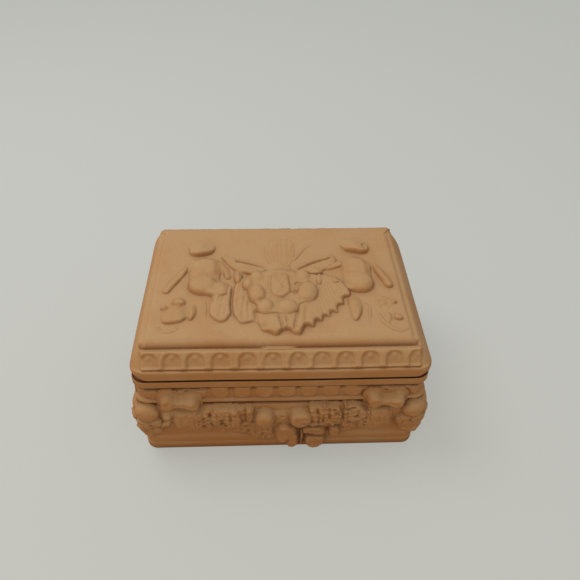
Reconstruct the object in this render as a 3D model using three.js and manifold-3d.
// A small lidded keepsake box in unglazed red clay. The box and its lid are pressed shells, and the border strips,
// garlands, bows, fruit and cherubs are sprigs: reliefs pressed in moulds of their own and stuck on with slip.
// Millimetres, +Z up. The origin is the middle of the foot, and the front looks along -Y.
import * as THREE from "three";
import { mergeVertices } from "three/addons/utils/BufferGeometryUtils.js";
import Module from "manifold-3d";

const wasm = await Module();
wasm.setup();

// Overall sizes. The plan is the lid's widest edge, and every "out" below is measured outwards from it.
const boxWidth = 150;
const boxDepth = 110;
const cornerRadius = 8;
const smallestRadius = 1.2;
const seatGap = 0.3; // between a sprig and what it is stuck on, and between the lid and the box

// The box below the seam, from the foot up.
const seamHeight = 58.8;
const footOut = -1.6;
const footRound = 1.2;
const footLineHeight = 6.2;
const footTopHeight = 10.2;
const neckOut = -3.4;
const bellyStart = 18;
const bellyOut = 0.9;
const beadHeight = 3;
const beadOut = -0.9;
const beadSwell = 0.3;
const lineDepth = 1.2; // of the cut lines between the mouldings
const rimHeight = 4;
const rimOut = -0.9;
const rimRound = 1.2;
const friezeHeight = 10; // the flat band for the border strip
const bellyTop = seamHeight - rimHeight - friezeHeight - beadHeight;

// The inside of the box.
const wall = 7;
const floorThickness = 6;
const cavityRadius = 5;

// The lid.
const lidHeight = 19.6;
const lipHeight = 8.6; // from the seam to the widest edge
const lipUnderOut = -2.6;
const lipRound = 1.6;
const borderRun = 7.2; // from the widest edge in to the top of the patterned slope
const borderTopDrop = 4.1; // below the plate
const frameRun = 4.8; // plain edge that rolls over on to the plate
const frameRollShare = 0.3; // how soon that edge turns level
const endSlopeShare = 0.62; // the slopes at the two ends are steeper than the long ones
const plateThickness = 6.4;
const flangeDepth = 4.5;
const flangeThickness = 3;
const flangeClearance = 1;
const hollowRadius = 4;

// The border strips, pressed in one mould and used upright on the lid and upside down on the box.
const stripHeight = 7.6;
const stripThickness = 1.2;
const stripEndInset = 5; // from the corner of the plan to the strip's end
const stripEndMargin = 1;
const archPitch = 11.5;
const archRadius = 4.4;
const archLegs = 1.9;
const archDepth = 0.7;

// The sprigs on the sides.
const bowInset = 22; // from the corner of the plan to the bow's knot
const bowDrop = 10.5; // from the seam down to the knot
const tailLength = 23;
const tailFeet = [-5.2, -1.8, 1.8, 5.2]; // of the bow's four pleats, from its middle
const swagDrop = 28; // from the seam down to the garland's line
const shellPleats = 5;
const cornerDrop = 24; // from the seam down to the upper swelling on a corner

// The sprigs on the lid.
const cherubInset = 32; // from the end of the plan in to a cherub's middle
const cherubReach = boxWidth / 2 - cherubInset;
const sprayInset = [20.5, 31]; // from the ends and from the front in to a corner leaf
const scrollRadius = 5.4;
const hemRadius = 37;
const fluteCount = 11;
const bladeCount = 7;

const colours = { shell: 0xb98a60, lid: 0xbd8f63, sprig: 0xb4855a, strip: 0xb08156 };

// Solids and meshes
function solid(geometry) {
  const bare = new THREE.BufferGeometry();
  bare.setAttribute("position", geometry.getAttribute("position").clone());
  if (geometry.index) bare.setIndex(geometry.index.clone());
  const merged = mergeVertices(bare, 1e-4);
  const kept = [];
  const index = merged.index.array;
  for (let i = 0; i < index.length; i += 3) {
    const [a, b, c] = [index[i], index[i + 1], index[i + 2]];
    if (a !== b && b !== c && c !== a) kept.push(a, b, c);
  }
  const made = new wasm.Mesh({
    numProp: 3,
    vertProperties: Float32Array.from(merged.getAttribute("position").array),
    triVerts: Uint32Array.from(kept),
  });
  return new wasm.Manifold(made);
}

function geometryOf(manifold) {
  const { numProp, vertProperties, triVerts } = manifold.getMesh();
  const positions = new Float32Array((vertProperties.length / numProp) * 3);
  for (let i = 0; i < positions.length / 3; i++) {
    positions.set(vertProperties.subarray(i * numProp, i * numProp + 3), i * 3);
  }
  const geometry = new THREE.BufferGeometry();
  geometry.setAttribute("position", new THREE.BufferAttribute(positions, 3));
  geometry.setIndex(new THREE.BufferAttribute(triVerts, 1));
  geometry.computeVertexNormals();
  return geometry;
}

const join = (solids) => solids.reduce((all, one) => all.add(one));
const cut = (body, ...tools) => tools.reduce((left, tool) => left.subtract(tool), body);

// A sprig that its neighbours cut keeps its main body, and the crumbs beyond them fall away.
function mainBody(manifold) {
  return manifold.decompose().reduce((best, one) => (one.volume() > best.volume() ? one : best));
}

function clayMesh(name, manifold, colour, turn = 0) {
  const material = new THREE.MeshStandardMaterial({ color: colour, roughness: 0.92, metalness: 0 });
  const mesh = new THREE.Mesh(geometryOf(manifold), material);
  mesh.name = name;
  mesh.rotation.z = turn;
  return mesh;
}

// Shells: rounded rectangles stacked along a moulding's profile
const cornerSteps = 4;

function ring(halfWidth, halfDepth, radius, z) {
  const points = [];
  for (let corner = 0; corner < 4; corner++) {
    const sideX = corner === 0 || corner === 3 ? 1 : -1;
    const sideY = corner < 2 ? 1 : -1;
    for (let step = 0; step <= cornerSteps; step++) {
      const angle = ((corner + step / cornerSteps) * Math.PI) / 2;
      points.push([
        sideX * (halfWidth - radius) + radius * Math.cos(angle),
        sideY * (halfDepth - radius) + radius * Math.sin(angle),
        z,
      ]);
    }
  }
  return points;
}

// levels run from the bottom up: { out, z }, with endOut for ends that slope their own way and radius for corners
// that don't follow the plan.
function stack(levels) {
  const rings = levels.map(({ out, endOut = out, z, radius }) =>
    ring(boxWidth / 2 + endOut, boxDepth / 2 + out, radius ?? Math.max(cornerRadius + out, smallestRadius), z),
  );
  const count = rings[0].length;
  const bottom = rings.length * count;
  const top = bottom + 1;
  const positions = [...rings.flat(2), 0, 0, levels[0].z, 0, 0, levels.at(-1).z];
  const index = [];
  for (let i = 0; i < count; i++) {
    const next = (i + 1) % count;
    index.push(bottom, next, i, top, (rings.length - 1) * count + i, (rings.length - 1) * count + next);
    for (let level = 0; level < rings.length - 1; level++) {
      const [low, high] = [level * count, (level + 1) * count];
      index.push(low + i, low + next, high + next, low + i, high + next, high + i);
    }
  }
  const geometry = new THREE.BufferGeometry();
  geometry.setAttribute("position", new THREE.Float32BufferAttribute(positions, 3));
  geometry.setIndex(index);
  return solid(geometry);
}

const levelsOf = (path, steps) => path.getPoints(steps).map((point) => ({ out: point.x, z: point.y }));

// The box's outside: foot with a cut line, neck, swelling belly, bead, flat frieze and rim.
function boxProfile() {
  const friezeTop = seamHeight - rimHeight;
  const beadTop = bellyTop + beadHeight;
  const path = new THREE.Path();
  path.moveTo(footOut - footRound, 0);
  path.quadraticCurveTo(footOut, 0, footOut, footRound);
  path.lineTo(footOut, footLineHeight - lineDepth / 2);
  path.lineTo(footOut - lineDepth, footLineHeight);
  path.lineTo(footOut - lineDepth / 3, footLineHeight + lineDepth / 2);
  path.lineTo(footOut - lineDepth / 3, footTopHeight);
  path.quadraticCurveTo(neckOut, footTopHeight + 1, neckOut, bellyStart);
  path.quadraticCurveTo(bellyOut, bellyStart + 2, bellyOut, (bellyStart + bellyTop) / 2);
  path.quadraticCurveTo(bellyOut, bellyTop - 3, beadOut - lineDepth, bellyTop);
  path.quadraticCurveTo(beadOut + beadSwell * 2, bellyTop + beadHeight / 2, beadOut, beadTop);
  path.lineTo(beadOut, friezeTop - lineDepth / 2);
  path.lineTo(beadOut - lineDepth, friezeTop);
  path.lineTo(rimOut, friezeTop + lineDepth / 2);
  path.lineTo(rimOut, seamHeight - rimRound);
  path.quadraticCurveTo(rimOut, seamHeight, rimOut - rimRound, seamHeight);
  return levelsOf(path, 3);
}

// Flat planes just clear of the box's outside, on which the pressed pieces are seated. They bridge its neck.
function wallSeat() {
  const planes = [
    [footOut, -1],
    [footOut, footTopHeight],
    [bellyOut, bellyStart],
    [bellyOut, bellyTop],
    [beadOut + beadSwell, bellyTop + beadHeight],
    [beadOut + beadSwell, seamHeight + 1],
  ];
  return stack(planes.map(([out, z]) => ({ out: out + seatGap, z })));
}

// The lid's outside: rounded lip, widest edge, patterned slope, rolled edge and flat plate.
function lidProfile() {
  const top = seamHeight + lidHeight;
  const widest = seamHeight + lipHeight;
  const slopeTop = top - borderTopDrop;
  const path = new THREE.Path();
  path.moveTo(lipUnderOut, seamHeight + seatGap);
  path.quadraticCurveTo(-lipRound / 4, seamHeight + seatGap, -lipRound / 4, seamHeight + lipRound);
  path.lineTo(0, widest - lipRound * 2);
  path.lineTo(0, widest);
  path.quadraticCurveTo(0, widest + lipRound / 2, -lipRound / 2, widest + lipRound * 0.7);
  path.lineTo(-borderRun, slopeTop);
  path.quadraticCurveTo(-borderRun - frameRun * frameRollShare, top, -borderRun - frameRun, top);
  return levelsOf(path, 3);
}

// The four sides: how far each face of the plan is from the middle, how long it is and which way it looks.
const sides = [
  { name: "front", reach: boxDepth / 2, length: boxWidth, turn: 0 },
  { name: "right", reach: boxWidth / 2, length: boxDepth, turn: Math.PI / 2 },
  { name: "back", reach: boxDepth / 2, length: boxWidth, turn: Math.PI },
  { name: "left", reach: boxWidth / 2, length: boxDepth, turn: -Math.PI / 2 },
];

// A face's own frame: u runs along the side, v up it and w out of it. lean tips v back from upright.
function faceFrame(side, out, z, lean, upsideDown = false) {
  const flip = new THREE.Matrix4().makeRotationZ(upsideDown ? Math.PI : 0);
  const upright = new THREE.Matrix4().makeRotationX(Math.PI / 2 - lean);
  const place = new THREE.Matrix4().makeTranslation(0, -(side.reach + out), z);
  const turn = new THREE.Matrix4().makeRotationZ(side.turn);
  return turn.multiply(place).multiply(upright).multiply(flip);
}

// Border strips: a flat band with a row of arched niches
function nicheShape(middle) {
  const springing = archLegs - stripHeight / 2;
  const shape = new THREE.Shape();
  shape.moveTo(middle - archRadius, springing - archLegs + 0.6);
  shape.lineTo(middle + archRadius, springing - archLegs + 0.6);
  shape.absarc(middle, springing, archRadius, 0, Math.PI, false);
  return shape;
}

function slab(length, height, low, high) {
  const geometry = new THREE.BoxGeometry(length, height, high - low);
  return geometry.translate(0, 0, (low + high) / 2);
}

function borderStrip(side) {
  const length = side.length - 2 * stripEndInset;
  const count = Math.floor((length - 2 * stripEndMargin) / archPitch);
  const niches = Array.from({ length: count }, (_, i) => {
    const shape = nicheShape((i - (count - 1) / 2) * archPitch);
    const geometry = new THREE.ExtrudeGeometry(shape, { depth: stripThickness, bevelEnabled: false, curveSegments: 3 });
    return solid(geometry.translate(0, 0, -archDepth));
  });
  return cut(solid(slab(length, stripHeight, -stripThickness, 0)), ...niches);
}

function stripSeat(side) {
  const length = side.length - 2 * stripEndInset + 2 * seatGap;
  return slab(length, stripHeight + 2 * seatGap, -stripThickness - seatGap, 2 * stripThickness);
}

const carried = (manifold, frame) => solid(geometryOf(manifold).applyMatrix4(frame));

function stripFrames(side) {
  const widest = seamHeight + lipHeight + lipRound * 0.7;
  const slopeTop = seamHeight + lidHeight - borderTopDrop;
  const run = borderRun - lipRound / 2;
  const lean = Math.PI / 2 - Math.atan2(slopeTop - widest, run);
  const friezeMiddle = (bellyTop + beadHeight + seamHeight - rimHeight) / 2;
  return {
    box: faceFrame(side, beadOut, friezeMiddle, 0, true),
    lid: faceFrame(side, -(borderRun + lipRound / 2) / 2, (widest + slopeTop) / 2, lean),
  };
}

// Sprig parts. Each is made in a face's frame, and grow thickens it to cut its neighbours with the gap kept.
const limbSides = 6;
const largeFrom = 6.2; // fruits at least this wide across their radius get more facets
const largeRound = new THREE.SphereGeometry(1, 8, 5).rotateX(Math.PI / 2);
const smallRound = new THREE.SphereGeometry(1, 6, 4).rotateX(Math.PI / 2);

function blob([u, v, w], [ru, rv, rw], turn = 0) {
  return (grow) => {
    const round = Math.max(ru, rv) < largeFrom ? smallRound : largeRound;
    const geometry = round.clone().scale(ru + grow, rv + grow, rw + grow);
    return solid(geometry.rotateZ(turn).translate(u, v, w));
  };
}

// A tapering limb, stem or fold with round ends.
function limb(from, to, startRadius, endRadius, flat = 1) {
  return (grow) => {
    const start = new THREE.Vector3(...from);
    const axis = new THREE.Vector3(...to).sub(start);
    const [low, high] = [startRadius + grow, endRadius + grow];
    const profile = [
      new THREE.Vector2(0, -low),
      new THREE.Vector2(low * Math.cos(Math.PI / 6), -low / 2),
      new THREE.Vector2(high * Math.cos(Math.PI / 6), axis.length() + high / 2),
      new THREE.Vector2(0, axis.length() + high),
    ];
    const geometry = new THREE.LatheGeometry(profile, limbSides);
    const alongAxis = new THREE.Quaternion().setFromUnitVectors(new THREE.Vector3(0, 1, 0), axis.normalize());
    geometry.applyQuaternion(alongAxis).scale(1, 1, flat);
    return solid(geometry.translate(start.x, start.y, start.z));
  };
}

// A pointed leaf with a raised middle rib and a flat back, growing along +V before it is turned.
function leaf([u, v, w], length, width, height, turn = 0) {
  return (grow) => {
    const steps = 3;
    const positions = [];
    const index = [];
    const add = (...point) => positions.push(...point) / 3 - 1;
    const [halfWidth, rib] = [width / 2 + grow, height + grow];
    const rows = [];
    for (let i = 1; i < steps; i++) {
      const along = i / steps;
      const spread = halfWidth * Math.sin(Math.PI * along ** 0.8);
      const y = along * (length + 2 * grow) - grow;
      const lift = rib * Math.sin(Math.PI * along) ** 0.5;
      rows.push([add(-spread, y, 0), add(0, y, lift), add(spread, y, 0), add(0, y, -grow - 0.6)]);
    }
    const [root, tip] = [add(0, -grow, 0), add(0, length + grow, 0)];
    for (let k = 0; k < 4; k++) {
      const next = (k + 1) % 4;
      index.push(root, rows[0][next], rows[0][k], tip, rows.at(-1)[k], rows.at(-1)[next]);
      for (let i = 0; i < rows.length - 1; i++) {
        const [a, b, c, d] = [rows[i][k], rows[i][next], rows[i + 1][next], rows[i + 1][k]];
        index.push(a, b, c, a, c, d);
      }
    }
    const geometry = new THREE.BufferGeometry();
    geometry.setAttribute("position", new THREE.Float32BufferAttribute(positions, 3));
    geometry.setIndex(index);
    return solid(geometry.rotateZ(turn).translate(u, v, w));
  };
}

const grown = (parts, grow) => join(parts.map((part) => part(grow)));

// What stands on the lid's plate, seen from above with v towards the back. side is -1 at the left, 1 at the right.
function cherub(side) {
  const x = (fromMiddle) => side * (cherubReach + fromMiddle);
  return [
    blob([x(1.8), 25.4, 0.6], [8, 7.6, 5]),
    blob([x(0), 17.4, 0], [6.6, 5, 3.4]),
    blob([x(-1), 9.4, 0], [8.8, 9.4, 3.8]),
    blob([x(0), -3.4, 0], [8, 7.4, 4.6]),
    limb([x(8.4), 15.6, 0.6], [x(13), 8, 0.6], 3.7, 3.1, 0.8),
    limb([x(13), 8, 0.6], [x(17), -3, 0.4], 3.1, 2.2, 0.8),
    blob([x(17.4), -5.8, 0], [2.5, 3, 2.4]),
    limb([x(-8.4), 15.8, 0.6], [x(-14), 10, 0.6], 3.7, 2.9, 0.8),
    limb([x(-5), -4.4, 0.4], [x(-11.4), -7, 0.4], 5, 4, 0.8),
    limb([x(-12.6), -8.4, 0.2], [x(-9.4), -14.4, 0.2], 3.1, 2.2, 0.8),
  ];
}

function fruitMound() {
  return [
    blob([1, -11, 0], [22, 15, 2.4]),
    blob([0.6, -8.6, 0.6], [7.4, 10.6, 6.4]),
    blob([-12.2, -15.4, 0.6], [6.2, 7, 5.4]),
    blob([-6.8, -25.4, 0.6], [5, 5.2, 4.6]),
    blob([4, -25.8, 0.6], [6.6, 5.4, 5]),
    blob([14.4, -14.4, 0.6], [6.2, 7.6, 5.6], 0.34),
    blob([-16.4, -6.8, 0.4], [4.2, 5.2, 4]),
    blob([-10.2, -1.6, 0.4], [4, 4.2, 4]),
    blob([12.6, -1.8, 0.4], [3.4, 5.4, 3.6]),
    blob([21, -3, 0.4], [3.4, 5.2, 3.4]),
  ];
}

// Gathered leaves that spread below the fruit: rounded flutes that widen to a scalloped hem.
function leafCollar() {
  const [first, last] = [Math.PI * 1.17, Math.PI * 1.9];
  return Array.from({ length: fluteCount }, (_, i) => {
    const angle = first + ((last - first) * i) / (fluteCount - 1);
    const reach = hemRadius * (1 - 0.1 * Math.abs(Math.cos(angle)) - 0.06 * (i % 2));
    const [across, along] = [Math.cos(angle), Math.sin(angle)];
    return limb([11 * across, 11 * along - 3, 0.6], [reach * across, (reach - 2) * along, 0.5], 3, 5.8, 0.45);
  });
}

function palmFan() {
  const blades = Array.from({ length: bladeCount }, (_, i) => {
    const tilt = (i / (bladeCount - 1) - 0.5) * 0.95;
    const reach = 27 - 7 * Math.abs(tilt) ** 1.5;
    return leaf([1, 11, 0.3], reach, 5.2, 1.7, -tilt);
  });
  return [blob([1, 12, 0.4], [5.4, 4.2, 3]), ...blades];
}

// A horn of plenty's side and the cloth below it, from the fruit up towards a cherub's hand.
function horn(side) {
  const end = cherubReach - 17;
  return [
    limb([side * 8.5, 9.5, 0.4], [side * (end - 8.6), 15, 0.4], 3.4, 3.2, 0.6),
    limb([side * (end - 8.6), 15, 0.4], [side * end, 18.6, 0.4], 3.2, 2.6, 0.6),
    limb([side * (end - 11.6), 8.4, 0.3], [side * (end - 1), 12.4, 0.3], 3.8, 3.4, 0.55),
  ];
}

// A broad leaf and a scroll in a front corner of the plate.
function cornerSpray(side) {
  const [u, v] = [side * (boxWidth / 2 - sprayInset[0]), -(boxDepth / 2 - sprayInset[1])];
  const [left, bottom, right] = [-1, 0, 1].map((step) => [
    u + side * 3.4 + step * scrollRadius,
    v - 10.5 - (1 - Math.abs(step)) * scrollRadius * 0.8,
    0.2,
  ]);
  return [
    blob([u, v - 1, 0.2], [7.2, 7, 2.5]),
    blob([u - side * 7, v - 0.5, 0.1], [3.6, 7.4, 2.2]),
    leaf([u - side, v, 0.3], 9.6, 6, 2, -side * Math.PI * 0.3),
    limb(left, bottom, 1.3, 1.5, 0.8),
    limb(bottom, right, 1.5, 1.2, 0.8),
    limb([u - side * 2, v - 6, 0.2], left, 1.6, 1.3, 0.8),
  ];
}

// What hangs on the walls, seen from outside with v up from the foot.
function bow(side, middle) {
  const u = (fromKnot) => side * middle + fromKnot;
  const knot = seamHeight - bowDrop;
  const tails = tailFeet.map((foot, i) =>
    limb([u(foot * 0.6), knot - 4, 1.2], [u(foot), knot - tailLength + (i % 2), 1.2], 2.4, 2.6, 0.9),
  );
  return [
    blob([u(0), knot, 0.8], [5, 5.8, 4.2]),
    blob([u(-6.8), knot + 0.4, 0.8], [6.8, 6.2, 4.6]),
    blob([u(6.8), knot, 0.8], [6.8, 6.2, 4.6]),
    ...tails,
  ];
}

// The heavy middle of a garland, with fruit and leaves that hang down over the foot, on a flat bed of clay.
function swagMiddle() {
  const v = (above) => seamHeight - swagDrop + above;
  return [
    blob([2, v(1), 0], [19, 11, 3.4]),
    blob([6, v(-14), 0], [14, 13, 3]),
    blob([-9, v(2.6), 0.6], [6.8, 7.8, 6.4]),
    blob([9, v(2.8), 0.6], [6.6, 7.2, 6]),
    blob([0, v(8), 0.6], [4, 4.4, 3.6]),
    blob([-1.4, v(-12.4), 0.8], [6.6, 11, 6.4]),
    blob([7, v(-17.8), 0.4], [4.2, 4.4, 5]),
    blob([7, v(-26), 0], [4.2, 3.4, 4.4]),
    blob([17, v(-20), 0.4], [6.4, 6.6, 6]),
    blob([17.4, v(-8.6), 0.8], [7.2, 5, 4.6]),
    leaf([-17, v(12.6), 1], 15, 7.4, 3.2, Math.PI),
    leaf([22, v(13.4), 1], 21, 12.5, 4.2, Math.PI * 0.97),
    leaf([13, v(10.6), 1], 14, 7, 3.6, -Math.PI * 0.62),
  ];
}

// A pleated shell at the left end of a garland, a flower and fruit at its right.
function swagEnds() {
  const v = (above) => seamHeight - swagDrop + above;
  const pleats = Array.from({ length: shellPleats }, (_, i) => {
    const aside = i - (shellPleats - 1) / 2;
    return limb([-29.6 + aside * 2, v(11), 1], [-29.6 + aside * 3.8, v(-2 + Math.abs(aside)), 1], 2.3, 2.9, 0.95);
  });
  return [
    ...pleats,
    blob([-22, v(1), 0], [8, 6, 3.2]),
    blob([-32, v(-6.4), 0.2], [5.4, 5.4, 3.6]),
    blob([29, v(-3), 0], [11.5, 10.5, 3]),
    blob([37, v(10), 0.6], [4.8, 4.8, 3.8]),
    limb([36, v(7), 0.8], [31, v(1), 0.8], 2.8, 3.4),
    leaf([35, v(5), 0.8], 13, 6.4, 3, -Math.PI * 0.86),
    blob([27.6, v(-12), 0.6], [4.4, 4.8, 4]),
    blob([35.2, v(-9), 0.4], [3.8, 3.6, 3.2]),
  ];
}

// Worn fruit and leaves on an upright corner, in the frame of the corner's own diagonal face.
function cornerFruit() {
  const v = (above) => seamHeight - cornerDrop + above;
  return [
    blob([0, v(4), -2], [7, 9.5, 6]),
    blob([-0.6, v(-8), -2], [6.8, 8, 5.8]),
    leaf([2, v(-4), 1.4], 11, 6.4, 2.6, Math.PI * 0.96),
  ];
}

// The pressed pieces keep their gap to the shell, the strips and whatever was stuck on before them.
function stuckOn(entries, seat) {
  const done = [];
  return entries.map(({ name, parts, frame }) => {
    const raw = carried(grown(parts, 0), frame);
    const body = mainBody(cut(raw, seat, ...done));
    done.push(carried(grown(parts, seatGap), frame));
    return clayMesh(name, body, colours.sprig);
  });
}

function boxPieces() {
  const outside = stack(boxProfile());
  const inner = rimOut - wall;
  const cavity = stack([
    { out: inner - 1, z: floorThickness, radius: cavityRadius },
    { out: inner, z: floorThickness + 1.5, radius: cavityRadius },
    { out: inner, z: seamHeight + 5, radius: cavityRadius },
  ]);
  const seats = sides.map((side) => carried(solid(stripSeat(side)), stripFrames(side).box));
  const room = wallSeat();
  const strips = sides.map((side) =>
    clayMesh(`box_border_${side.name}`, carried(borderStrip(side), stripFrames(side).box), colours.strip),
  );
  const bowAt = boxWidth / 2 - bowInset;
  const sprigs = sides.flatMap((side) => {
    const frame = faceFrame(side, 0, 0, 0);
    const long = side.length === boxWidth;
    const bows = [["left", -1], ["right", 1]].map(([hand, sign]) => ({
      name: `bow_${side.name}_${hand}`,
      parts: bow(sign, bowAt),
      frame,
    }));
    const garland = { name: `garland_${side.name}`, parts: [...swagMiddle(), ...(long ? swagEnds() : [])], frame };
    return [...(long ? bows : []), garland];
  });
  const corners = [["front_left", -1, -1], ["front_right", 1, -1], ["back_right", 1, 1], ["back_left", -1, 1]].map(
    ([name, signX, signY]) => {
      const radius = cornerRadius;
      const place = new THREE.Matrix4().makeTranslation(
        signX * (boxWidth / 2 - radius * (1 - Math.SQRT1_2)),
        signY * (boxDepth / 2 - radius * (1 - Math.SQRT1_2)),
        0,
      );
      const turn = new THREE.Matrix4().makeRotationZ(Math.atan2(signY, signX) + Math.PI / 2);
      const upright = new THREE.Matrix4().makeRotationX(Math.PI / 2);
      return { name: `corner_fruit_${name}`, parts: cornerFruit(), frame: place.multiply(turn).multiply(upright) };
    },
  );
  const shell = clayMesh("box_shell", cut(outside, cavity, ...seats), colours.shell);
  return [shell, ...strips, ...stuckOn([...sprigs, ...corners], room)];
}

function lidPieces() {
  const widest = seamHeight + lipHeight;
  const levels = lidProfile().map(({ out, z }) => ({ out, z, endOut: z > widest ? out * endSlopeShare : out }));
  const flangeOut = rimOut - wall - flangeClearance;
  const flange = stack([
    { out: flangeOut - 0.6, z: seamHeight - flangeDepth, radius: cavityRadius - 1 },
    { out: flangeOut, z: seamHeight - flangeDepth + 0.8, radius: cavityRadius - 1 },
    { out: flangeOut, z: seamHeight + 2, radius: cavityRadius - 1 },
  ]);
  const hollow = stack([
    { out: flangeOut - flangeThickness, z: seamHeight - flangeDepth - 5, radius: hollowRadius },
    { out: flangeOut - flangeThickness, z: seamHeight + lidHeight - plateThickness, radius: hollowRadius },
  ]);
  const longSides = sides.filter((side) => side.length === boxWidth);
  const seats = longSides.map((side) => carried(solid(stripSeat(side)), stripFrames(side).lid));
  const strips = longSides.map((side) =>
    clayMesh(`lid_border_${side.name}`, carried(borderStrip(side), stripFrames(side).lid), colours.strip),
  );
  const shell = clayMesh("lid_shell", cut(stack(levels).add(flange), hollow, ...seats), colours.lid);
  const top = seamHeight + lidHeight;
  const frame = new THREE.Matrix4().makeTranslation(0, 0, top);
  const room = carried(solid(slab(boxWidth, boxDepth, -20, seatGap)), frame);
  const hands = [["left", -1], ["right", 1]];
  const entries = [
    { name: "lid_fruit_mound", parts: fruitMound(), frame },
    ...hands.map(([hand, side]) => ({ name: `lid_cherub_${hand}`, parts: cherub(side), frame })),
    ...hands.map(([hand, side]) => ({ name: `lid_horn_${hand}`, parts: horn(side), frame })),
    { name: "lid_leaf_collar", parts: leafCollar(), frame },
    { name: "lid_palm_fan", parts: palmFan(), frame },
    ...hands.map(([hand, side]) => ({ name: `lid_spray_${hand}`, parts: cornerSpray(side), frame })),
  ];
  return [shell, ...strips, ...stuckOn(entries, room)];
}

const group = new THREE.Group();
group.add(...boxPieces(), ...lidPieces());

export default group;
